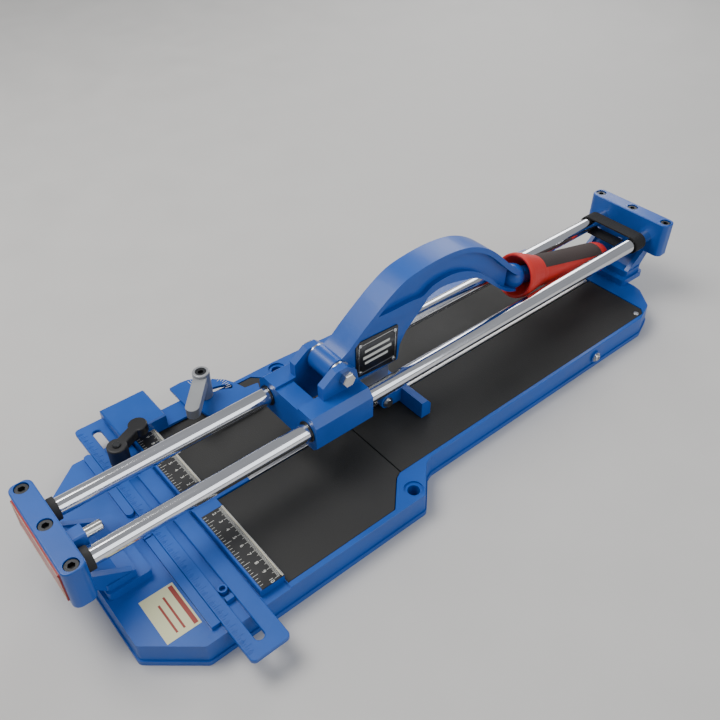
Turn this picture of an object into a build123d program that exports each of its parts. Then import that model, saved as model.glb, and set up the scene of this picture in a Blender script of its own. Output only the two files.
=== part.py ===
from build123d import *
import math
import os

os.makedirs("parts", exist_ok=True)

# Levels above the bench, millimetres
bed_top = 24.0
platform_top = 23.0
recess_floor = 20.5
mat_top = 23.5
lip_height = 5.0
cavity_roof = 16.0

# Rails and end blocks
rail_y = 28.0
rail_z = 73.0
rail_r = 7.5
rail_start, rail_end = -262.0, 420.0
block_depth = 18.0
block_half = 49.2
block_bottom, cap_top = 56.0, 94.0
front_block_x, rear_block_x = -260.0, 417.5
screw_ys = (-42.3, 0.0, 42.3)
screw_r, screw_head_r, counterbore_r = 3.0, 5.3, 5.7
screw_head_z = 87.0

# Bench holes
lug_hole_y = 99.0
lug_hole_r = 5.5

# Fence and measuring bar
fence_front, fence_rear, fence_top = -156.5, -134.7, 31.2
ruler_front = -154.6
ruler_inner, ruler_outer = 16.4, 102.0
bar_front, bar_rear = -190.9, -158.0
bar_bottom, bar_top = 23.2, 26.7
bar_half_length = 143.0
slot_x, slot_width, slot_length = -175.5, 8.0, 264.0
stud_y, stud_r = 80.0, 3.7

# Carriage and handle
car_front, car_rear, car_bottom, car_top = -55.0, 5.0, 56.0, 90.0
car_half, pocket_half = 40.0, 15.5
bush_r, bush_bore = 9.5, 7.58
pivot_x, pivot_z, pivot_r = -11.0, 103.0, 4.0
wheel_x, wheel_z, wheel_r = 20.0, 37.0, 11.0
breaker_x, breaker_z, breaker_r = 44.0, 36.0, 3.0
grip_tilt = math.radians(14.7)
grip_origin = (225.0, 0.0, 87.4)
run = 0.06

# Angle gauge
gauge_x, gauge_y = -77.0, 106.0


def mirrored(points):
    return [(x, -y) for x, y in points]


def face(points):
    Polygon(*points, align=None)


def shifted(points, distance):
    """Points moved sideways, to the right of the direction of travel."""
    moved = []
    for i, (x, z) in enumerate(points):
        x0, z0 = points[max(i - 1, 0)]
        x1, z1 = points[min(i + 1, len(points) - 1)]
        length = math.hypot(x1 - x0, z1 - z0)
        moved.append((x + distance * (z1 - z0) / length, z - distance * (x1 - x0) / length))
    return moved


# Base bed: ribbed casting with a front platform, two bench lugs and mat recesses
bed_outline = [
    (-246, -78), (-208, -110), (3, -110), (28, -85), (36, -82), (345, -82), (369, -73), (386, -51),
    (388, -42), (388, 42), (386, 51), (369, 73), (350, 86.5), (90, 106), (3, 110), (-208, 110), (-246, 78),
]
recess_half = [
    (-134, 0), (-134, -105.5), (-26.5, -105.5), (-24, -103), (-3, -81.5), (3, -78.5), (352, -78.5),
    (358, -72.5), (358, 0),
]
cell_pitch, cell_length, cell_count, cell_first = 57.0, 52.0, 10, -174.0
with BuildPart() as base_bed:
    with BuildSketch():
        face(bed_outline)
        fillet(vertices(), 4)
        offset(amount=2)
    extrude(amount=lip_height)
    with BuildSketch(Plane.XY.offset(lip_height)):
        face(bed_outline)
        fillet(vertices(), 4)
        offset(amount=0.8)
    extrude(amount=bed_top - lip_height, taper=2.4)
    fillet(base_bed.faces().sort_by(Axis.Z)[-1].edges(), 0.8)
    with BuildSketch(Plane.XY.offset(platform_top)):
        with Locations((-195, 0)):
            Rectangle(2 * (195 + fence_rear), 240)
    extrude(amount=5, mode=Mode.SUBTRACT)
    with BuildSketch(Plane.XY.offset(recess_floor)):
        face(recess_half)
        face(mirrored(recess_half))
    extrude(amount=10, mode=Mode.SUBTRACT)
    # Painted rib carrying on the line of the breaking strip
    with BuildSketch(Plane.XY.offset(recess_floor - 1)):
        with Locations((-117, 0)):
            Rectangle(34, 5)
    extrude(amount=4.8)
    # Low rail in front of the measuring bar
    with BuildSketch(Plane.XY.offset(platform_top - 1)):
        with Locations((-194.8, 67.5)):
            SlotOverall(83, 7, rotation=90)
        with Locations((-194.8, -53)):
            Rectangle(7, 98)
        with Locations((-195.5, -0.5)):
            Rectangle(6, 4)
    extrude(amount=bar_top - platform_top + 1)
    # Boss for the side screw
    with BuildSketch(Plane.XZ.offset(78)):
        with Locations((268, 12.5)):
            Circle(6.5)
    extrude(amount=6)
    # Ribbed underside
    inner_cells = []
    outer_cells = []
    for i in range(cell_count):
        centre = cell_first + i * cell_pitch
        inner_cells += [(centre, 20.5), (centre, -20.5)]
        if i < cell_count - 1:
            outer_cells += [(centre, 59.5), (centre, -59.5)]
    wing_cells = [(cell_first + i * cell_pitch, side * 91.5) for i in range(3) for side in (-1, 1)]
    with BuildSketch():
        with Locations(*inner_cells):
            RectangleRounded(cell_length, 35, 4)
        with Locations(*outer_cells):
            RectangleRounded(cell_length, 33, 4)
        with Locations(*wing_cells):
            RectangleRounded(cell_length, 20, 4)
    extrude(amount=cavity_roof, mode=Mode.SUBTRACT)
    with Locations((0, lug_hole_y, bed_top), (0, -lug_hole_y, bed_top)):
        CounterBoreHole(lug_hole_r, 8.5, 2)
    # Mat screw and side screw holes
    with BuildSketch(Plane.XY.offset(recess_floor)):
        with Locations((346, -74), (346, 74)):
            Circle(1.5)
    extrude(amount=-6, mode=Mode.SUBTRACT)
    with BuildSketch(Plane.XZ.offset(84)):
        with Locations((268, 12.5)):
            Circle(2)
    extrude(amount=-4, mode=Mode.SUBTRACT)
base_bed.part.label = "base_bed"
export_step(base_bed.part, "parts/base_bed.step")


# Rubber mats
front_mat = [
    (-134, 3.6), (-134, 105), (-27, 105), (-24.4, 102.6), (-3.4, 81), (3, 78), (4, 78), (4, 3.6),
]
rear_mat = [(5, 3.6), (5, 78), (351.8, 78), (357.6, 72.2), (357.6, 3.6)]


def mat(points, screw_y):
    with BuildPart() as sheet:
        with BuildSketch(Plane.XY.offset(recess_floor)):
            face(points)
            if screw_y:
                with Locations((346, screw_y)):
                    Circle(1.5, mode=Mode.SUBTRACT)
        extrude(amount=mat_top - recess_floor)
        chamfer(sheet.faces().sort_by(Axis.Z)[-1].outer_wire().edges(), 0.4)
    return sheet.part


mat_front_near = mat(mirrored(front_mat), 0)
mat_front_near.label = "mat_front_near"
export_step(mat_front_near, "parts/mat_front_near.step")
mat_front_far = mat(front_mat, 0)
mat_front_far.label = "mat_front_far"
export_step(mat_front_far, "parts/mat_front_far.step")
mat_rear_near = mat(mirrored(rear_mat), -74)
mat_rear_near.label = "mat_rear_near"
export_step(mat_rear_near, "parts/mat_rear_near.step")
mat_rear_far = mat(rear_mat, 74)
mat_rear_far.label = "mat_rear_far"
export_step(mat_rear_far, "parts/mat_rear_far.step")

with BuildPart() as mat_screws:
    with BuildSketch(Plane.XY.offset(mat_top)):
        with Locations((346, -74), (346, 74)):
            Circle(3)
    extrude(amount=1.4)
    fillet(mat_screws.faces().group_by(Axis.Z)[-1].edges(), 0.8)
    with BuildSketch(Plane.XY.offset(mat_top)):
        with Locations((346, -74), (346, 74)):
            Circle(1.5)
    extrude(amount=-8)
    with BuildSketch(Plane.XY.offset(mat_top + 0.7)):
        with Locations((346, -74), (346, 74)):
            Rectangle(3.4, 0.8)
            Rectangle(0.8, 3.4)
    extrude(amount=2, mode=Mode.SUBTRACT)
mat_screws.part.label = "mat_screws"
export_step(mat_screws.part, "parts/mat_screws.step")

with BuildPart() as side_washer:
    with BuildSketch(Plane.XZ.offset(84)):
        with Locations((268, 12.5)):
            Circle(5)
            Circle(2, mode=Mode.SUBTRACT)
    extrude(amount=0.8)
side_washer.part.label = "side_washer"
export_step(side_washer.part, "parts/side_washer.step")

with BuildPart() as side_screw:
    with BuildSketch(Plane.XZ.offset(84.8)):
        with Locations((268, 12.5)):
            Circle(3.5)
    extrude(amount=2.2)
    fillet(side_screw.faces().sort_by(Axis.Y)[0].edges(), 1)
    with BuildSketch(Plane.XZ.offset(80)):
        with Locations((268, 12.5)):
            Circle(2)
    extrude(amount=4.8)
    with BuildSketch(Plane.XZ.offset(86)):
        with Locations((268, 12.5)):
            Rectangle(3.8, 0.9)
            Rectangle(0.9, 3.8)
    extrude(amount=2, mode=Mode.SUBTRACT)
side_screw.part.label = "side_screw"
export_step(side_screw.part, "parts/side_screw.step")

# Steel breaking strip on the cutting line
with BuildPart() as breaking_strip:
    with BuildSketch(Plane.XY.offset(recess_floor)):
        with Locations((127.5, 0)):
            Rectangle(455, 5)
    extrude(amount=4)
    fillet(breaking_strip.faces().sort_by(Axis.Z)[-1].edges().filter_by(Axis.X), 0.7)
breaking_strip.part.label = "breaking_strip"
export_step(breaking_strip.part, "parts/breaking_strip.step")

# Fence with recesses for two ruler strips and a stepped groove for the wheel and its holder
with BuildPart() as fence:
    with BuildSketch(Plane.XY.offset(platform_top)):
        with Locations(((fence_front + fence_rear) / 2, 3)):
            Rectangle(fence_rear - fence_front, 210)
    extrude(amount=fence_top - platform_top)
    chamfer(fence.faces().sort_by(Axis.Z)[-1].edges(), 0.5)
    with BuildSketch(Plane.XY.offset(fence_top - 1)):
        for side in (-1, 1):
            with Locations(((ruler_front + fence_rear) / 2, side * (ruler_inner + ruler_outer) / 2)):
                Rectangle(fence_rear - ruler_front, ruler_outer - ruler_inner)
    extrude(amount=3, mode=Mode.SUBTRACT)
    with BuildSketch(Plane.XY.offset(24.6)):
        with Locations(((fence_front + fence_rear) / 2, 0)):
            Rectangle(30, 5)
    extrude(amount=10, mode=Mode.SUBTRACT)
    with BuildSketch(Plane.XY.offset(29.6)):
        with Locations(((fence_front + fence_rear) / 2, 0)):
            Rectangle(30, 15)
    extrude(amount=5, mode=Mode.SUBTRACT)
fence.part.label = "fence"
export_step(fence.part, "parts/fence.step")


def ruler(side):
    with BuildPart() as strip:
        with BuildSketch(Plane.XY.offset(fence_top - 1)):
            with Locations(((ruler_front + fence_rear) / 2, side * (ruler_inner + ruler_outer) / 2)):
                Rectangle(fence_rear - ruler_front, ruler_outer - ruler_inner)
        extrude(amount=1)
    return strip.part


ruler_near = ruler(-1)
ruler_near.label = "ruler_near"
export_step(ruler_near, "parts/ruler_near.step")
ruler_far = ruler(1)
ruler_far.label = "ruler_far"
export_step(ruler_far, "parts/ruler_far.step")

# Measuring bar with its long slot
with BuildPart() as measuring_bar:
    with BuildSketch(Plane.XY.offset(bar_bottom)):
        with Locations(((bar_front + bar_rear) / 2, 0)):
            RectangleRounded(bar_rear - bar_front, 2 * bar_half_length, 4)
        with Locations((slot_x, 0)):
            SlotOverall(slot_length, slot_width, rotation=90, mode=Mode.SUBTRACT)
    extrude(amount=bar_top - bar_bottom)
    chamfer(measuring_bar.faces().sort_by(Axis.Z)[-1].edges(), 0.5)
measuring_bar.part.label = "measuring_bar"
export_step(measuring_bar.part, "parts/measuring_bar.step")

with BuildPart() as guide_stud_near:
    with BuildSketch(Plane.XY.offset(platform_top)):
        with Locations((slot_x, -stud_y)):
            Circle(stud_r)
        with Locations((slot_x, -89.5)):
            Rectangle(6.4, 4)
    extrude(amount=4.6)
    with BuildSketch(Plane.XY.offset(28)):
        with Locations((slot_x, -stud_y)):
            Circle(2.4)
    extrude(amount=-4, mode=Mode.SUBTRACT)
guide_stud_near.part.label = "guide_stud_near"
export_step(guide_stud_near.part, "parts/guide_stud_near.step")

with BuildPart() as guide_stud_far:
    with BuildSketch(Plane.XY.offset(platform_top)):
        with Locations((slot_x, stud_y)):
            Circle(stud_r)
    extrude(amount=29)
    chamfer(guide_stud_far.faces().sort_by(Axis.Z)[-1].edges(), 0.8)
guide_stud_far.part.label = "guide_stud_far"
export_step(guide_stud_far.part, "parts/guide_stud_far.step")

with BuildPart() as knob_washer:
    with BuildSketch(Plane.XY.offset(27)):
        with Locations((slot_x, stud_y)):
            Circle(8.6)
            Circle(stud_r, mode=Mode.SUBTRACT)
    extrude(amount=1.8)
    with BuildSketch(Plane.XY.offset(28.8)):
        with Locations((slot_x, stud_y)):
            RegularPolygon(6.6, 6)
            Circle(stud_r, mode=Mode.SUBTRACT)
    extrude(amount=3)
knob_washer.part.label = "knob_washer"
export_step(knob_washer.part, "parts/knob_washer.step")

knob_reach = (25.5, 12.0)
knob_angle = math.degrees(math.atan2(knob_reach[1], knob_reach[0]))
with BuildPart() as bar_clamp_knob:
    with BuildSketch(Plane.XY.offset(32.1)):
        with Locations((slot_x, stud_y)):
            Circle(8.8)
    extrude(amount=18)
    with BuildSketch(Plane.XY.offset(41.8)):
        with Locations((slot_x + knob_reach[0], stud_y + knob_reach[1])):
            Circle(8.5)
        with Locations(Location((slot_x + knob_reach[0] / 2, stud_y + knob_reach[1] / 2), knob_angle)):
            Rectangle(math.hypot(*knob_reach), 10)
    extrude(amount=8.3)
    fillet(bar_clamp_knob.faces().sort_by(Axis.Z)[-1].edges(), 1.5)
    with BuildSketch(Plane.XY.offset(30)):
        with Locations((slot_x, stud_y)):
            Circle(stud_r + run)
    extrude(amount=30, mode=Mode.SUBTRACT)
bar_clamp_knob.part.label = "bar_clamp_knob"
export_step(bar_clamp_knob.part, "parts/bar_clamp_knob.step")


# Rails
def rail(side):
    with BuildPart() as rod:
        with BuildSketch(Plane.YZ.offset(rail_start)):
            with Locations((side * rail_y, rail_z)):
                Circle(rail_r)
        extrude(amount=rail_end - rail_start)
    return rod.part


rail_near = rail(-1)
rail_near.label = "rail_near"
export_step(rail_near, "parts/rail_near.step")
rail_far = rail(1)
rail_far.label = "rail_far"
export_step(rail_far, "parts/rail_far.step")

with BuildPart() as rail_bumpers:
    with BuildSketch(Plane.YZ.offset(front_block_x + block_depth / 2)):
        with Locations((rail_y, rail_z), (-rail_y, rail_z)):
            Circle(9.5)
            Circle(rail_r, mode=Mode.SUBTRACT)
    extrude(amount=7)
    fillet(rail_bumpers.faces().sort_by(Axis.X)[-2:].edges(), 0.6)
rail_bumpers.part.label = "rail_bumpers"
export_step(rail_bumpers.part, "parts/rail_bumpers.step")


# Pedestals: foot, pad, sloping web with ribs and the lower half of the rail clamp
def pedestal(block_x, foot, pad, web, ribs, foot_bottom):
    with BuildPart() as stand:
        with BuildSketch(Plane.XY.offset(foot_bottom)):
            with Locations(((foot[0] + foot[1]) / 2, 0)):
                RectangleRounded(foot[1] - foot[0], 69, 3)
        extrude(amount=31 - foot_bottom)
        with BuildSketch(Plane.XY.offset(31)):
            with Locations(((pad[0] + pad[1]) / 2, 0)):
                RectangleRounded(pad[1] - pad[0], 64, 3)
        extrude(amount=7)
        with BuildSketch(Plane.XZ):
            face(web)
        extrude(amount=31, both=True)
        for rib_y in (-29, 0, 29):
            with BuildSketch(Plane.XZ.offset(rib_y)):
                face(ribs)
            extrude(amount=2.5, both=True)
        with BuildSketch(Plane.XY.offset(block_bottom)):
            with Locations((block_x, 0)):
                RectangleRounded(block_depth, 2 * block_half, 6)
        extrude(amount=rail_z - block_bottom)
        with BuildSketch(Plane.YZ.offset(rail_start)):
            with Locations((rail_y, rail_z), (-rail_y, rail_z)):
                Circle(rail_r)
        extrude(amount=rail_end - rail_start, mode=Mode.SUBTRACT)
        with BuildSketch(Plane.XY.offset(rail_z)):
            with Locations(*[(block_x, y) for y in screw_ys]):
                Circle(screw_r)
        extrude(amount=-13, mode=Mode.SUBTRACT)
    return stand.part


pedestal_front = pedestal(
    front_block_x,
    (-243.5, -208),
    (-243, -218),
    [(-243, 33), (-229, 38), (-251.5, 58), (-266, 58)],
    [(-230, 37), (-218.5, 37), (-251.5, 58), (-254, 58)],
    platform_top,
)
pedestal_front.label = "pedestal_front"
export_step(pedestal_front, "parts/pedestal_front.step")
pedestal_rear = pedestal(
    rear_block_x,
    (375, 411),
    (383, 409),
    [(393, 36), (407, 36), (424, 58), (410, 58)],
    [(384, 37), (395, 37), (412, 58), (408.5, 58)],
    bed_top,
)
pedestal_rear.label = "pedestal_rear"
export_step(pedestal_rear, "parts/pedestal_rear.step")


def rail_cap(block_x):
    with BuildPart() as cap:
        with BuildSketch(Plane.XY.offset(rail_z)):
            with Locations((block_x, 0)):
                RectangleRounded(block_depth, 2 * block_half, 6)
        extrude(amount=cap_top - rail_z)
        fillet(cap.faces().sort_by(Axis.Z)[-1].edges(), 1.2)
        with BuildSketch(Plane.YZ.offset(rail_start)):
            with Locations((rail_y, rail_z), (-rail_y, rail_z)):
                Circle(rail_r)
        extrude(amount=rail_end - rail_start, mode=Mode.SUBTRACT)
        with Locations(*[(block_x, y, cap_top) for y in screw_ys]):
            CounterBoreHole(screw_r, counterbore_r, cap_top - screw_head_z)
    return cap.part


rail_cap_front = rail_cap(front_block_x)
rail_cap_front.label = "rail_cap_front"
export_step(rail_cap_front, "parts/rail_cap_front.step")
rail_cap_rear = rail_cap(rear_block_x)
rail_cap_rear.label = "rail_cap_rear"
export_step(rail_cap_rear, "parts/rail_cap_rear.step")


def cap_screws(block_x):
    spots = [(block_x, y) for y in screw_ys]
    with BuildPart() as bolts:
        with BuildSketch(Plane.XY.offset(screw_head_z)):
            with Locations(*spots):
                Circle(screw_head_r)
        extrude(amount=6)
        fillet(bolts.faces().group_by(Axis.Z)[-1].edges(), 0.5)
        with BuildSketch(Plane.XY.offset(screw_head_z)):
            with Locations(*spots):
                Circle(screw_r)
        extrude(amount=-26)
        with BuildSketch(Plane.XY.offset(screw_head_z + 6)):
            with Locations(*spots):
                RegularPolygon(2.9, 6)
        extrude(amount=-3.5, mode=Mode.SUBTRACT)
    return bolts.part


cap_screws_front = cap_screws(front_block_x)
cap_screws_front.label = "cap_screws_front"
export_step(cap_screws_front, "parts/cap_screws_front.step")
cap_screws_rear = cap_screws(rear_block_x)
cap_screws_rear.label = "cap_screws_rear"
export_step(cap_screws_rear, "parts/cap_screws_rear.step")

# Front stop
stop_y, stop_z = -12.0, 79.0
with BuildPart() as stop_bracket:
    with BuildSketch(Plane.YZ.offset(front_block_x + block_depth / 2)):
        with Locations((stop_y, stop_z)):
            RectangleRounded(13, 13, 2)
    extrude(amount=11)
stop_bracket.part.label = "stop_bracket"
export_step(stop_bracket.part, "parts/stop_bracket.step")

with BuildPart() as stop_pin:
    with BuildSketch(Plane.YZ.offset(-240)):
        with Locations((stop_y, stop_z)):
            Circle(4.4)
    extrude(amount=13.5)
    chamfer(stop_pin.faces().sort_by(Axis.X)[-1].edges(), 0.8)
stop_pin.part.label = "stop_pin"
export_step(stop_pin.part, "parts/stop_pin.step")

with BuildPart() as end_plate:
    with BuildSketch(Plane.YZ.offset(front_block_x - block_depth / 2 - 1.2)):
        with Locations((0, 74)):
            RectangleRounded(84, 30, 2)
    extrude(amount=1.2)
end_plate.part.label = "end_plate"
export_step(end_plate.part, "parts/end_plate.step")

# Transport strap round both rails
with BuildPart() as strap:
    with BuildSketch(Plane.YZ.offset(380)):
        with Locations((0, rail_z)):
            SlotCenterToCenter(2 * rail_y, 19)
            SlotCenterToCenter(2 * rail_y, 15.8, mode=Mode.SUBTRACT)
    extrude(amount=16)
strap.part.label = "strap"
export_step(strap.part, "parts/strap.step")

# Stop block riding on the fence
with BuildPart() as stop_block:
    with BuildSketch(Plane.XZ.offset(-95)):
        face([(-165.4, 31.5), (-134.4, 31.5), (-134.4, 25), (-122, 25), (-122, 41), (-165.4, 41)])
    extrude(amount=-43)
    chamfer(stop_block.faces().sort_by(Axis.Z)[-1].edges(), 1.2)
stop_block.part.label = "stop_block"
export_step(stop_block.part, "parts/stop_block.step")

with BuildPart() as gauge_bracket:
    with BuildSketch(Plane.XY.offset(24.6)):
        with Locations((-95, gauge_y)):
            Rectangle(54, 22)
        with Locations((gauge_x, gauge_y)):
            Circle(3, mode=Mode.SUBTRACT)
    extrude(amount=2.4)
gauge_bracket.part.label = "gauge_bracket"
export_step(gauge_bracket.part, "parts/gauge_bracket.step")

with BuildPart() as gauge_screw:
    with BuildSketch(Plane.XY.offset(24.6)):
        with Locations((gauge_x, gauge_y)):
            Circle(3)
    extrude(amount=31)
    with BuildSketch(Plane.XY.offset(54)):
        with Locations((gauge_x, gauge_y)):
            Circle(5)
    extrude(amount=4.6)
    with BuildSketch(Plane.XY.offset(58.6)):
        with Locations((gauge_x, gauge_y)):
            RegularPolygon(2.9, 6)
    extrude(amount=-3, mode=Mode.SUBTRACT)
gauge_screw.part.label = "gauge_screw"
export_step(gauge_screw.part, "parts/gauge_screw.step")

gauge_outline = [
    (-98, 135.3), (-98, 97), (-91.3, 96), (-88.9, 79), (-87, 63), (-38, 63), (-36, 71), (-28.9, 88.5),
    (-42.3, 90.5), (-45.7, 102.5), (-50.7, 112.2), (-60, 121.5), (-68.4, 128.7), (-78, 134.8), (-86, 136),
]
with BuildPart() as angle_gauge:
    with BuildSketch(Plane.XY.offset(27.3)):
        face(gauge_outline)
        fillet(vertices(), 1)
        with Locations((gauge_x, gauge_y)):
            Circle(3 + run, mode=Mode.SUBTRACT)
        with Locations((-73, 73)):
            SlotArc(CenterArc((0, 0), 34.5, 54, 28), 6, mode=Mode.SUBTRACT)
    extrude(amount=2.7)
    chamfer(angle_gauge.faces().sort_by(Axis.Z)[-1].outer_wire().edges(), 0.4)
angle_gauge.part.label = "angle_gauge"
export_step(angle_gauge.part, "parts/angle_gauge.step")

lever_angle = -131.2
lever_length = 43.0
with BuildPart() as gauge_lever:
    with BuildSketch(Plane.XY.offset(30.3)):
        with Locations((gauge_x, gauge_y)):
            Circle(8)
    extrude(amount=29)
    mid = (
        gauge_x + lever_length / 2 * math.cos(math.radians(lever_angle)),
        gauge_y + lever_length / 2 * math.sin(math.radians(lever_angle)),
    )
    with BuildSketch(Plane.XY.offset(47)):
        with Locations(Location(mid, lever_angle)):
            SlotCenterToCenter(lever_length, 12.5)
    extrude(amount=9.5)
    fillet(gauge_lever.faces().sort_by(Axis.Z)[-1].edges(), 1.2)
    with BuildSketch(Plane.XY.offset(53.7)):
        with Locations((gauge_x, gauge_y)):
            Circle(5.35)
    extrude(amount=8, mode=Mode.SUBTRACT)
    with BuildSketch(Plane.XY.offset(29)):
        with Locations((gauge_x, gauge_y)):
            Circle(3 + run)
    extrude(amount=30, mode=Mode.SUBTRACT)
gauge_lever.part.label = "gauge_lever"
export_step(gauge_lever.part, "parts/gauge_lever.step")

# Carriage block
block_profile = [
    (-35, car_bottom), (-car_half, 61), (-car_half, 83.5), (-33.5, car_top), (33.5, car_top),
    (car_half, 83.5), (car_half, 61), (35, car_bottom),
]
ear_profile = [(-34, 89), (-34, 103), (-20, 113), (-8, 113), (1, 105), (4, 89)]
with BuildPart() as carriage_block:
    with BuildSketch(Plane.YZ.offset(car_front)):
        face(block_profile)
    extrude(amount=car_rear - car_front)
    with BuildSketch(Plane.XY.offset(50)):
        with Locations((-12, 0)):
            Rectangle(50, 2 * pocket_half)
    extrude(amount=50, mode=Mode.SUBTRACT)
    with BuildSketch(Plane.XY.offset(car_top - 2.5)):
        with Locations((-46, 0)):
            Rectangle(20, 2 * pocket_half)
    extrude(amount=5, mode=Mode.SUBTRACT)
    for ear_start in (pocket_half, -pocket_half - 7.5):
        with BuildSketch(Plane.XZ.offset(-ear_start)):
            face(ear_profile)
            with Locations((pivot_x, pivot_z)):
                Circle(pivot_r, mode=Mode.SUBTRACT)
        extrude(amount=-7.5)
    with BuildSketch(Plane.YZ.offset(car_front)):
        with Locations((rail_y, rail_z), (-rail_y, rail_z)):
            Circle(bush_r)
    extrude(amount=car_rear - car_front, mode=Mode.SUBTRACT)
carriage_block.part.label = "carriage_block"
export_step(carriage_block.part, "parts/carriage_block.step")


def rail_bush(side):
    with BuildPart() as sleeve:
        with BuildSketch(Plane.YZ.offset(car_front - 1)):
            with Locations((side * rail_y, rail_z)):
                Circle(bush_r)
                Circle(bush_bore, mode=Mode.SUBTRACT)
        extrude(amount=car_rear - car_front + 2)
    return sleeve.part


rail_bush_near = rail_bush(-1)
rail_bush_near.label = "rail_bush_near"
export_step(rail_bush_near, "parts/rail_bush_near.step")
rail_bush_far = rail_bush(1)
rail_bush_far.label = "rail_bush_far"
export_step(rail_bush_far, "parts/rail_bush_far.step")

with BuildPart() as pivot_bolt:
    with BuildSketch(Plane.XZ.offset(-29)):
        with Locations((pivot_x, pivot_z)):
            Circle(pivot_r)
    extrude(amount=52)
    with BuildSketch(Plane.XZ.offset(23)):
        with Locations((pivot_x, pivot_z)):
            RegularPolygon(6.8, 6)
    extrude(amount=6)
    chamfer(pivot_bolt.faces().sort_by(Axis.Y)[0].edges(), 0.6)
pivot_bolt.part.label = "pivot_bolt"
export_step(pivot_bolt.part, "parts/pivot_bolt.step")

with BuildPart() as pivot_nut:
    with BuildSketch(Plane.XZ.offset(-28)):
        with Locations((pivot_x, pivot_z)):
            RegularPolygon(6.8, 6)
            Circle(pivot_r, mode=Mode.SUBTRACT)
    extrude(amount=5)
pivot_nut.part.label = "pivot_nut"
export_step(pivot_nut.part, "parts/pivot_nut.step")

with BuildPart() as pivot_washers:
    for washer_start in (-15.5, 13.3):
        with BuildSketch(Plane.XZ.offset(washer_start)):
            with Locations((pivot_x, pivot_z)):
                Circle(10.5)
                Circle(pivot_r, mode=Mode.SUBTRACT)
        extrude(amount=2.2)
pivot_washers.part.label = "pivot_washers"
export_step(pivot_washers.part, "parts/pivot_washers.step")

# Handle casting: arched I section from the pivot hub to the grip
arch_top = [
    (-6, 113.4), (0.5, 117), (10, 125), (25, 137), (51, 155), (64, 161), (78, 164), (101, 166), (123, 165),
    (138, 162), (155, 155), (173, 143), (189, 128), (206, 111.5), (219, 101.5),
]
arch_under = [(26, 135), (59, 133), (78, 132.5), (87, 132), (96, 136.5), (106, 139), (124, 139), (143, 133.5),
              (157, 126), (175, 111.5), (189, 97.5), (202, 88), (217, 80)]
arch_low = [(25, 126), (59, 123.5), (85, 123), (91, 126), (102, 130), (118, 130.5), (134, 127), (158, 119),
            (173, 108), (189, 94), (202, 84), (217, 77.5)]
web_low = [(104, 130), (94, 117), (84, 108), (73, 98), (66, 86), (64, 70), (12, 70), (-18, 95)]
flange_half, low_flange_half, web_half, hub_half, hub_r = 12.5, 9.5, 5.0, 13.0, 11.5
grip_dir = (math.cos(grip_tilt), 0.0, -math.sin(grip_tilt))
grip_up = (math.sin(grip_tilt), 0.0, math.cos(grip_tilt))
tang_r, tang_length = 9.0, 130.0
with BuildPart() as handle_casting:
    web_top = shifted(arch_top, 2.5)
    web_under = shifted(arch_low[4:], -2)
    with BuildSketch(Plane.XZ):
        face([*web_top[:-1], *web_under[-2::-1], *web_low, (pivot_x, pivot_z)])
    extrude(amount=web_half, both=True)
    arch_inner = shifted(arch_top, 5)
    with BuildSketch(Plane.XZ):
        with BuildLine():
            Spline(*arch_top)
            Line(arch_top[-1], arch_inner[-1])
            Spline(*arch_inner[::-1])
            Line(arch_inner[0], arch_top[0])
        make_face()
    extrude(amount=flange_half, both=True)
    with BuildSketch(Plane.XZ):
        with BuildLine():
            Spline(*arch_under)
            Line(arch_under[-1], arch_low[-1])
            Spline(*arch_low[::-1])
            Line(arch_low[0], arch_under[0])
        make_face()
    extrude(amount=low_flange_half, both=True)
    with BuildSketch(Plane.XZ):
        with Locations((pivot_x, pivot_z)):
            Circle(hub_r)
    extrude(amount=hub_half, both=True)
    with Locations((220, 0, 89.5)):
        Sphere(12.6)
    with BuildSketch(Plane(origin=grip_origin, z_dir=grip_dir)):
        Circle(tang_r)
    extrude(amount=tang_length)
    with BuildSketch(Plane.XZ):
        with Locations((pivot_x, pivot_z)):
            Circle(pivot_r + run)
    extrude(amount=20, both=True, mode=Mode.SUBTRACT)
handle_casting.part.label = "handle_casting"
export_step(handle_casting.part, "parts/handle_casting.step")


# Grip: flared sleeve on the tang, with a textured insert
def grip_plane(turn):
    angle = math.radians(turn)
    radial = (
        grip_up[0] * math.cos(angle),
        math.sin(angle),
        grip_up[2] * math.cos(angle),
    )
    normal = Vector(*grip_dir).cross(Vector(*radial))
    return Plane(origin=grip_origin, x_dir=grip_dir, z_dir=normal)


grip_axis = Axis(grip_origin, grip_dir)
insert_start, insert_end, insert_floor = 30.0, 133.0, 13.6
insert_turn, insert_arc = 80.0, 130.0
with BuildPart() as sleeve_blank:
    with BuildSketch(grip_plane(0)):
        face([
            (-2, 20), (-2.5, 21.5), (-1.5, 22.6), (3, 22.8), (9, 21.6), (18, 19.4), (26, 17.4), (34, 16.3),
            (70, 15.8), (120, 16.6), (140, 17), (145, 16.2), (148.5, 14), (150.6, 10.5), (151.5, 6),
            (151.5, 0), (tang_length, 0), (tang_length, tang_r), (20, tang_r),
        ])
    revolve(axis=grip_axis)
with BuildPart() as grip_sleeve:
    add(sleeve_blank.part)
    with BuildSketch(grip_plane(insert_turn)):
        face([(insert_start, insert_floor), (insert_end, insert_floor), (insert_end, 30), (insert_start, 30)])
    revolve(axis=grip_axis, revolution_arc=insert_arc, mode=Mode.SUBTRACT)
grip_sleeve.part.label = "grip_sleeve"
export_step(grip_sleeve.part, "parts/grip_sleeve.step")

with BuildPart() as grip_insert:
    with BuildSketch(grip_plane(insert_turn)):
        face([
            (insert_start, insert_floor), (insert_end, insert_floor), (insert_end, 16.9), (120, 16.9),
            (70, 16.2), (insert_start, 16.6),
        ])
    revolve(axis=grip_axis, revolution_arc=insert_arc)
grip_insert.part.label = "grip_insert"
export_step(grip_insert.part, "parts/grip_insert.step")

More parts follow.
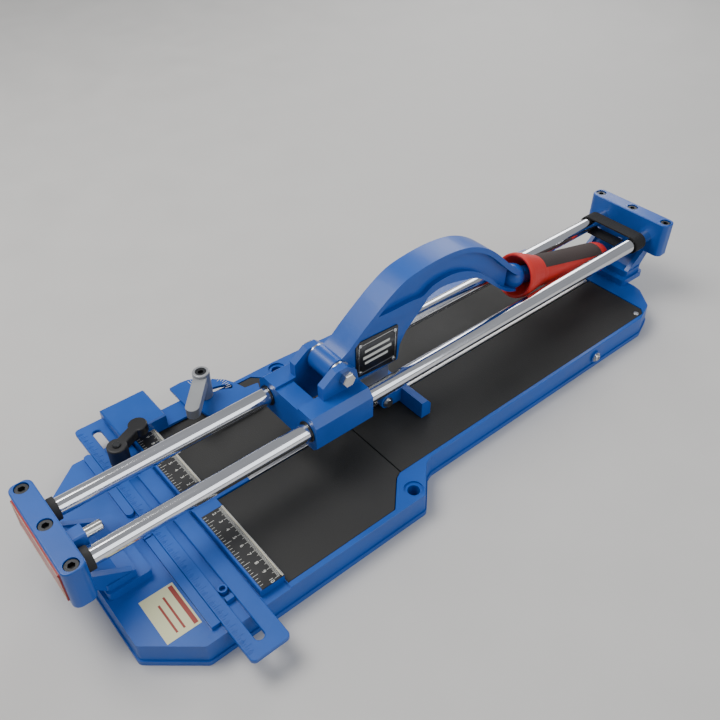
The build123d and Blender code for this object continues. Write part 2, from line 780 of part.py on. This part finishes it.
plate_corners = [(15, 75), (61.5, 71), (62.5, 111.5), (14.5, 113.5)]
with BuildPart() as nameplate:
    with BuildSketch(Plane.XZ.offset(web_half)):
        face(plate_corners)
        fillet(vertices(), 2)
    extrude(amount=1)
nameplate.part.label = "nameplate"
export_step(nameplate.part, "parts/nameplate.step")

rivet_spots = [(19, 79), (57.5, 75.3), (58.3, 107.5), (18.8, 109.3)]
with BuildPart() as nameplate_rivets:
    with BuildSketch(Plane.XZ.offset(web_half + 1)):
        with Locations(*rivet_spots):
            Circle(2)
    extrude(amount=1.2)
    fillet(nameplate_rivets.faces().group_by(Axis.Y)[0].edges(), 0.8)
nameplate_rivets.part.label = "nameplate_rivets"
export_step(nameplate_rivets.part, "parts/nameplate_rivets.step")

# Wheel holder, axle and scoring wheel
with BuildPart() as wheel_holder:
    with BuildSketch(Plane.XZ):
        face([(12, 70), (12, 50), (14, 44), (37, 44), (38, 30), (50, 30), (52, 44), (52, 70)])
        with Locations((wheel_x, wheel_z + 6)):
            Rectangle(13, 12)
        with Locations((wheel_x, wheel_z)):
            Circle(6.5)
    extrude(amount=6, both=True)
    with BuildSketch(Plane.XZ):
        with Locations((breaker_x, breaker_z)):
            Circle(7)
    extrude(amount=8.7, both=True)
    with BuildSketch(Plane.XZ):
        with Locations((wheel_x, 36)):
            Rectangle(26, 27)
    extrude(amount=1.6, both=True, mode=Mode.SUBTRACT)
    with BuildSketch(Plane.XZ):
        with Locations((wheel_x, wheel_z)):
            Circle(2)
        with Locations((breaker_x, breaker_z)):
            Circle(breaker_r)
    extrude(amount=20, both=True, mode=Mode.SUBTRACT)
wheel_holder.part.label = "wheel_holder"
export_step(wheel_holder.part, "parts/wheel_holder.step")

with BuildPart() as wheel_axle:
    with BuildSketch(Plane.XZ):
        with Locations((wheel_x, wheel_z)):
            Circle(2)
    extrude(amount=7, both=True)
    with BuildSketch(Plane.XZ.offset(6)):
        with Locations((wheel_x, wheel_z)):
            Circle(3.6)
    extrude(amount=1.6)
wheel_axle.part.label = "wheel_axle"
export_step(wheel_axle.part, "parts/wheel_axle.step")

wheel_axis = Axis((wheel_x, 0, wheel_z), (0, 1, 0))
with BuildPart() as scoring_wheel:
    with BuildSketch(Plane(origin=(wheel_x, 0, wheel_z), x_dir=(0, 1, 0), z_dir=(1, 0, 0))):
        face([(-1.2, 2 + run), (1.2, 2 + run), (1.2, wheel_r - 1.6), (0.1, wheel_r), (-0.1, wheel_r),
              (-1.2, wheel_r - 1.6)])
    revolve(axis=wheel_axis)
scoring_wheel.part.label = "scoring_wheel"
export_step(scoring_wheel.part, "parts/scoring_wheel.step")

# Breaker foot on its pin
with BuildPart() as breaker_pivot:
    with BuildSketch(Plane.XZ):
        with Locations((breaker_x, breaker_z)):
            Circle(breaker_r)
    extrude(amount=17, both=True)
    for washer_start in (-16.3, 15.3):
        with BuildSketch(Plane.XZ.offset(washer_start)):
            with Locations((breaker_x, breaker_z)):
                Circle(5)
        extrude(amount=1)
    for head_start in (-18.6, 16.3):
        with BuildSketch(Plane.XZ.offset(head_start)):
            with Locations((breaker_x, breaker_z)):
                Circle(3.8)
        extrude(amount=2.3)
breaker_pivot.part.label = "breaker_pivot"
export_step(breaker_pivot.part, "parts/breaker_pivot.step")

wing_front, wing_rear, wing_bottom, wing_top, wing_half = 61.0, 72.0, 25.2, 43.0, 43.0
with BuildPart() as breaker_foot:
    for arm_start in (-15, 9):
        with BuildSketch(Plane.XZ.offset(arm_start)):
            with Locations((breaker_x, breaker_z)):
                Circle(7)
            face([(breaker_x, 29), (64, 28), (64, 43), (breaker_x, 43)])
        extrude(amount=6)
    with BuildSketch(Plane.XZ):
        face([(wing_front, wing_bottom), (wing_rear, wing_bottom), (wing_rear, 38), (68, wing_top),
              (wing_front, wing_top)])
    extrude(amount=wing_half, both=True)
    with BuildSketch(Plane.XZ):
        with Locations((breaker_x, breaker_z)):
            Circle(breaker_r + run)
    extrude(amount=20, both=True, mode=Mode.SUBTRACT)
breaker_foot.part.label = "breaker_foot"
export_step(breaker_foot.part, "parts/breaker_foot.step")
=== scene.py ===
import bpy
import math
from mathutils import Matrix, Vector


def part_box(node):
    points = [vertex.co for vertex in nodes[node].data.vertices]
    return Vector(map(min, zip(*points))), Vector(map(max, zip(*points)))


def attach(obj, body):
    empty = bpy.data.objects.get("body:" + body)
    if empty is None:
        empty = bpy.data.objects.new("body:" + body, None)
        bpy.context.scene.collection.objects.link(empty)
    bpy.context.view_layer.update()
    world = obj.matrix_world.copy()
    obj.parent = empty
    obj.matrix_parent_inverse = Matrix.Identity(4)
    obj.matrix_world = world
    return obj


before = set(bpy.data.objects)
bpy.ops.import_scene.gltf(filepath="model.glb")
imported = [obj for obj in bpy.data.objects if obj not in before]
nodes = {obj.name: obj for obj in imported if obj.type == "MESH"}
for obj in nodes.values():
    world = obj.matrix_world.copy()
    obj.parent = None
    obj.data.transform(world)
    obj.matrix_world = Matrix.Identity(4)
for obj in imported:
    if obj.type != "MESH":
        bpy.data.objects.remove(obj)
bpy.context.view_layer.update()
MM = 0.001
EIGHTH_INCH = 0.0254 / 8
PRINT_HEIGHT = 0.00008   # how far printed marks stand above their strip
TICK_HALF = 0.00013      # half the width of a printed tick
SCALE_END = 0.101        # the scales stop here, counted from the cutting line


# ---------------------------------------------------------------- materials
def material(name, colour, rough, metal=0.0, bump=0.0, scale=200.0, spread=0.12, coat=0.0, stretch=None,
             tint=0.0):
    """Procedural surface: noise varies the roughness, the tone and a fine bump."""
    mat = bpy.data.materials.new(name)
    mat.use_nodes = True
    nt = mat.node_tree
    bsdf = nt.nodes["Principled BSDF"]
    bsdf.inputs["Metallic"].default_value = metal
    bsdf.inputs["Coat Weight"].default_value = coat
    bsdf.inputs["Coat Roughness"].default_value = 0.12
    coord = nt.nodes.new("ShaderNodeTexCoord")
    mapping = nt.nodes.new("ShaderNodeMapping")
    mapping.inputs["Scale"].default_value = stretch or (1, 1, 1)
    nt.links.new(coord.outputs["Object"], mapping.inputs["Vector"])
    fine = nt.nodes.new("ShaderNodeTexNoise")
    fine.inputs["Scale"].default_value = scale
    fine.inputs["Detail"].default_value = 5
    nt.links.new(mapping.outputs["Vector"], fine.inputs["Vector"])
    broad = nt.nodes.new("ShaderNodeTexNoise")
    broad.inputs["Scale"].default_value = 14
    broad.inputs["Detail"].default_value = 6
    nt.links.new(mapping.outputs["Vector"], broad.inputs["Vector"])
    level = nt.nodes.new("ShaderNodeMapRange")
    level.inputs["From Min"].default_value = 0.3
    level.inputs["From Max"].default_value = 0.7
    level.inputs["To Min"].default_value = max(rough - spread, 0.03)
    level.inputs["To Max"].default_value = min(rough + spread, 1)
    nt.links.new(broad.outputs["Fac"], level.inputs["Value"])
    nt.links.new(level.outputs["Result"], bsdf.inputs["Roughness"])
    ramp = nt.nodes.new("ShaderNodeValToRGB")
    ramp.color_ramp.elements[0].position = 0.3
    ramp.color_ramp.elements[1].position = 0.7
    ramp.color_ramp.elements[0].color = (*[c * (1 - tint) for c in colour], 1)
    ramp.color_ramp.elements[1].color = (*[min(c * (1 + tint) + tint * 0.01, 1) for c in colour], 1)
    nt.links.new(broad.outputs["Fac"], ramp.inputs["Fac"])
    nt.links.new(ramp.outputs["Color"], bsdf.inputs["Base Color"])
    if bump:
        node = nt.nodes.new("ShaderNodeBump")
        node.inputs["Strength"].default_value = bump
        node.inputs["Distance"].default_value = 0.0004
        nt.links.new(fine.outputs["Fac"], node.inputs["Height"])
        nt.links.new(node.outputs["Normal"], bsdf.inputs["Normal"])
    return mat


blue = material("blue_paint", (0.002, 0.085, 0.42), 0.42, bump=0.14, scale=420, coat=0.12, tint=0.12)
rubber = material("black_rubber", (0.022, 0.022, 0.021), 0.72, bump=0.35, scale=900, tint=0.25)
chrome = material("chrome", (0.78, 0.79, 0.82), 0.12, metal=1, bump=0.02, scale=90, spread=0.05,
                  stretch=(1, 12, 12), tint=0.04)
steel = material("brushed_steel", (0.58, 0.58, 0.57), 0.34, metal=1, bump=0.12, scale=260,
                 stretch=(0.15, 3, 3), tint=0.08)
zinc = material("zinc_steel", (0.66, 0.66, 0.64), 0.28, metal=1, bump=0.06, scale=300, tint=0.08)
dark_steel = material("dark_steel", (0.045, 0.047, 0.05), 0.42, metal=0.8, bump=0.1, scale=500, tint=0.2)
black_plastic = material("black_plastic", (0.012, 0.012, 0.013), 0.45, bump=0.1, scale=700, tint=0.2)
grey_cast = material("grey_cast", (0.36, 0.37, 0.38), 0.42, metal=0.55, bump=0.25, scale=500, tint=0.12)
red_grip = material("red_grip", (0.62, 0.022, 0.014), 0.5, bump=0.12, scale=500, tint=0.1)
dark_grip = material("dark_grip", (0.045, 0.03, 0.027), 0.8, bump=0.9, scale=650, tint=0.3)
ruler_black = material("ruler_black", (0.018, 0.018, 0.019), 0.35, bump=0.04, scale=400, tint=0.15)
print_white = material("print_white", (0.72, 0.72, 0.66), 0.55, bump=0.05, scale=500, tint=0.06)
print_cream = material("print_cream", (0.62, 0.58, 0.42), 0.55, bump=0.05, scale=500, tint=0.08)
plate_black = material("plate_black", (0.008, 0.008, 0.009), 0.3, bump=0.03, scale=500, coat=0.3, tint=0.2)
plate_red = material("plate_red", (0.42, 0.022, 0.018), 0.4, bump=0.05, scale=500, coat=0.2, tint=0.12)
webbing = material("webbing", (0.012, 0.012, 0.013), 0.92, bump=1.0, scale=1500, tint=0.35)
sticker_paper = material("sticker_paper", (0.66, 0.66, 0.40), 0.45, bump=0.04, scale=300, tint=0.06)
sticker_ink = material("sticker_ink", (0.30, 0.03, 0.02), 0.5, bump=0.04, scale=300, tint=0.1)

finish_of = {
    "base_bed": blue, "fence": blue, "pedestal_front": blue, "pedestal_rear": blue, "rail_cap_front": blue,
    "rail_cap_rear": blue, "stop_bracket": blue, "measuring_bar": blue, "stop_block": blue,
    "gauge_bracket": blue, "angle_gauge": blue, "carriage_block": blue, "handle_casting": blue,
    "breaker_foot": blue, "mat_front_near": rubber, "mat_front_far": rubber, "mat_rear_near": rubber,
    "mat_rear_far": rubber, "rail_bumpers": rubber, "rail_near": chrome, "rail_far": chrome,
    "cap_screws_front": dark_steel, "cap_screws_rear": dark_steel, "gauge_screw": dark_steel,
    "guide_stud_far": dark_steel, "guide_stud_near": blue, "breaking_strip": steel,
    "mat_screws": zinc, "side_screw": zinc, "side_washer": zinc, "stop_pin": zinc, "knob_washer": zinc,
    "pivot_bolt": zinc, "pivot_nut": zinc, "pivot_washers": zinc, "nameplate_rivets": zinc,
    "wheel_holder": steel, "wheel_axle": zinc, "scoring_wheel": steel, "breaker_pivot": zinc,
    "ruler_near": ruler_black, "ruler_far": ruler_black, "end_plate": plate_red, "strap": webbing,
    "bar_clamp_knob": black_plastic, "gauge_lever": grey_cast, "grip_sleeve": red_grip,
    "grip_insert": dark_grip, "nameplate": plate_black, "rail_bush_near": dark_steel,
    "rail_bush_far": dark_steel,
}
for name, mat in finish_of.items():
    nodes[name].data.materials.clear()
    nodes[name].data.materials.append(mat)


# ---------------------------------------------------------------- small pieces
def boxes(name, mat, body, items):
    """One mesh of many small blocks, each given as (low corner, high corner) in metres."""
    verts, faces = [], []
    for lo, hi in items:
        base = len(verts)
        verts += [(x, y, z) for z in (lo[2], hi[2]) for y in (lo[1], hi[1]) for x in (lo[0], hi[0])]
        faces += [tuple(base + i for i in f) for f in
                  ((0, 2, 3, 1), (4, 5, 7, 6), (0, 1, 5, 4), (2, 6, 7, 3), (0, 4, 6, 2), (1, 3, 7, 5))]
    mesh = bpy.data.meshes.new(name)
    mesh.from_pydata(verts, [], faces)
    obj = bpy.data.objects.new(name, mesh)
    bpy.context.scene.collection.objects.link(obj)
    obj.data.materials.append(mat)
    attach(obj, body)
    return obj


def number(name, text, size, matrix, mat, body):
    curve = bpy.data.curves.new(name, "FONT")
    curve.body = text
    curve.size = size
    curve.extrude = 0.00006
    curve.align_x = "CENTER"
    curve.align_y = "CENTER"
    curve.materials.append(mat)
    obj = bpy.data.objects.new(name, curve)
    obj.matrix_world = matrix
    bpy.context.scene.collection.objects.link(obj)
    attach(obj, body)
    return obj


# Ruler scales: centimetre ticks and numbers along the rear edge, inch ticks along the front edge,
# both counted from the cutting line
for side, end in ((-1, "near"), (1, "far")):
    lo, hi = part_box(f"ruler_{end}")
    top = hi.z
    ticks = []
    for step in range(18, 101):
        y = side * step * MM
        length = 0.0055 if step % 10 == 0 else (0.0042 if step % 5 == 0 else 0.0028)
        ticks.append(((hi.x - 0.0018 - length, y - TICK_HALF, top),
                      (hi.x - 0.0018, y + TICK_HALF, top + PRINT_HEIGHT)))
    for eighth in range(6, int(SCALE_END / EIGHTH_INCH) + 1):
        y = side * eighth * EIGHTH_INCH
        length = 0.006 if eighth % 8 == 0 else (0.0045 if eighth % 4 == 0 else 0.0028)
        ticks.append(((lo.x + 0.0004, y - TICK_HALF, top),
                      (lo.x + 0.0004 + length, y + TICK_HALF, top + PRINT_HEIGHT)))
    boxes(f"ruler_ticks_{end}", print_white, "bed", ticks)
    boxes(f"ruler_band_{end}", print_cream, "bed",
          [((hi.x - 0.0017, lo.y + 0.0003, top), (hi.x - 0.0009, hi.y - 0.0003, top + 0.00007))])
    boxes(f"ruler_edge_{end}", zinc, "bed",
          [((hi.x - 0.0008, lo.y + 0.0003, top), (hi.x, hi.y - 0.0003, top + 0.00009))])
    for cm in range(2, 11):
        turn = Matrix.Rotation(math.radians(-90), 4, "Z")
        spot = Matrix.Translation((hi.x - 0.0100, side * cm * 0.01, top + PRINT_HEIGHT)) @ turn
        number(f"ruler_number_{end}_{cm}", str(cm), 0.0045, spot, print_white, "bed")

# Raised graduations on the measuring bar
lo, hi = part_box("measuring_bar")
marks = []
MARK_HALF = 0.00022
for step in range(-136, 137):
    length = 0.0065 if step % 10 == 0 else (0.005 if step % 5 == 0 else 0.0034)
    if step % 2 == 0 or step % 5 == 0:
        y = step * MM
        marks.append(((lo.x + 0.001, y - MARK_HALF, hi.z - 0.0001),
                      (lo.x + 0.001 + length, y + MARK_HALF, hi.z + 0.00022)))
boxes("bar_graduations", blue, "bar", marks)

# Graduations round the gauge rim
lo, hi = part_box("angle_gauge")
centre = Vector((-0.077, 0.106, 0))
verts, faces = [], []
for i in range(0, 19):
    a = math.radians(-12 + i * 6)
    inner = 0.0225 if i % 3 else 0.0205
    u = Vector((math.cos(a), math.sin(a), 0))
    w = Vector((-math.sin(a), math.cos(a), 0)) * 0.00022
    base = len(verts)
    for r in (inner, 0.0262):
        for s in (-1, 1):
            for z in (hi.z - 0.0001, hi.z + 0.0002):
                p = centre + u * r + w * s
                verts.append((p.x, p.y, z))
    faces += [tuple(base + k for k in f) for f in
              ((0, 1, 3, 2), (4, 6, 7, 5), (0, 4, 5, 1), (2, 3, 7, 6), (0, 2, 6, 4), (1, 5, 7, 3))]
mesh = bpy.data.meshes.new("gauge_graduations")
mesh.from_pydata(verts, [], faces)
gauge_marks = bpy.data.objects.new("gauge_graduations", mesh)
bpy.context.scene.collection.objects.link(gauge_marks)
gauge_marks.data.materials.append(print_white)
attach(gauge_marks, "gauge")

# Border and plain bars on the nameplate
lo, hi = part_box("nameplate")
y0, y1 = lo.y - 0.0003, lo.y + 0.0001
x0, x1, z0, z1 = lo.x + 0.0028, hi.x - 0.0028, lo.z + 0.0062, hi.z - 0.0045
t = 0.0006
boxes("nameplate_border", zinc, "handle", [
    ((x0, y0, z0), (x1, y1, z0 + t)), ((x0, y0, z1 - t), (x1, y1, z1)),
    ((x0, y0, z0), (x0 + t, y1, z1)), ((x1 - t, y0, z0), (x1, y1, z1))])
boxes("nameplate_bars", print_white, "handle", [
    ((x0 + 0.007, y0, z1 - 0.010), (x1 - 0.007, y1, z1 - 0.0075)),
    ((x0 + 0.005, y0, z1 - 0.017), (x1 - 0.005, y1, z1 - 0.014)),
    ((x0 + 0.007, y0, z1 - 0.023), (x1 - 0.009, y1, z1 - 0.0205))])

# Pale border on the end plate
lo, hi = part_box("end_plate")
t = 0.0012
boxes("end_plate_border", print_cream, "bed", [
    ((lo.x - 0.0002, lo.y + 0.001, lo.z + 0.001), (lo.x + 0.0001, hi.y - 0.001, lo.z + 0.001 + t)),
    ((lo.x - 0.0002, lo.y + 0.001, hi.z - 0.001 - t), (lo.x + 0.0001, hi.y - 0.001, hi.z - 0.001)),
    ((lo.x - 0.0002, lo.y + 0.001, lo.z + 0.001), (lo.x + 0.0001, lo.y + 0.001 + t, hi.z - 0.001)),
    ((lo.x - 0.0002, hi.y - 0.001 - t, lo.z + 0.001), (lo.x + 0.0001, hi.y - 0.001, hi.z - 0.001))])

# Plain sticker on the front platform
STICKER_TOP = 0.0232
boxes("sticker", sticker_paper, "bed", [((-0.2285, -0.0915, 0.023), (-0.2005, -0.0485, STICKER_TOP))])
boxes("sticker_bars", sticker_ink, "bed", [
    ((-0.2055, -0.0895, STICKER_TOP), (-0.2020, -0.0505, STICKER_TOP + 0.00005)),
    ((-0.2130, -0.0875, STICKER_TOP), (-0.2113, -0.0560, STICKER_TOP + 0.00005)),
    ((-0.2190, -0.0875, STICKER_TOP), (-0.2173, -0.0600, STICKER_TOP + 0.00005))])

# ---------------------------------------------------------------- camera, floor, light
camera_data = bpy.data.cameras.new("camera")
camera_data.sensor_width = 36
camera_data.lens = 39.4
camera = bpy.data.objects.new("camera", camera_data)
bpy.context.scene.collection.objects.link(camera)
look = Vector((0.4850, 0.5815, -0.6533)).normalized()
right = look.cross(Vector((0, 0, 1))).normalized()
up = right.cross(look)
camera.matrix_world = Matrix((
    (right.x, up.x, -look.x, -0.3093),
    (right.y, up.y, -look.y, -0.3995),
    (right.z, up.z, -look.z, 0.5363),
    (0, 0, 0, 1),
))
bpy.context.scene.camera = camera

floor_mesh = bpy.data.meshes.new("floor")
floor_mesh.from_pydata([(-4, -4, 0), (4, -4, 0), (4, 4, 0), (-4, 4, 0)], [], [(0, 1, 2, 3)])
floor = bpy.data.objects.new("floor", floor_mesh)
bpy.context.scene.collection.objects.link(floor)
floor.data.materials.append(material("floor_pale", (0.62, 0.61, 0.59), 0.7, bump=0.03, scale=60, tint=0.02))

world = bpy.data.worlds.new("studio")
world.use_nodes = True
world.node_tree.nodes["Background"].inputs["Color"].default_value = (0.93, 0.95, 1, 1)
world.node_tree.nodes["Background"].inputs["Strength"].default_value = 0.38
bpy.context.scene.world = world


def area_light(name, spot, target, size, power, tone):
    data = bpy.data.lights.new(name, "AREA")
    data.size = size
    data.energy = power
    data.color = tone
    obj = bpy.data.objects.new(name, data)
    obj.location = spot
    obj.rotation_mode = "QUATERNION"
    obj.rotation_quaternion = (Vector(target) - Vector(spot)).to_track_quat("-Z", "Y")
    bpy.context.scene.collection.objects.link(obj)


area_light("key", (-0.5, 0.6, 1.5), (0.05, 0, 0.05), 0.9, 22, (1, 0.98, 0.95))
area_light("fill", (0.4, -1.3, 0.9), (0.05, 0, 0.05), 1.2, 9, (0.93, 0.96, 1))
area_light("rim", (1.3, 0.9, 0.9), (0.05, 0, 0.05), 0.8, 9, (1, 1, 1))
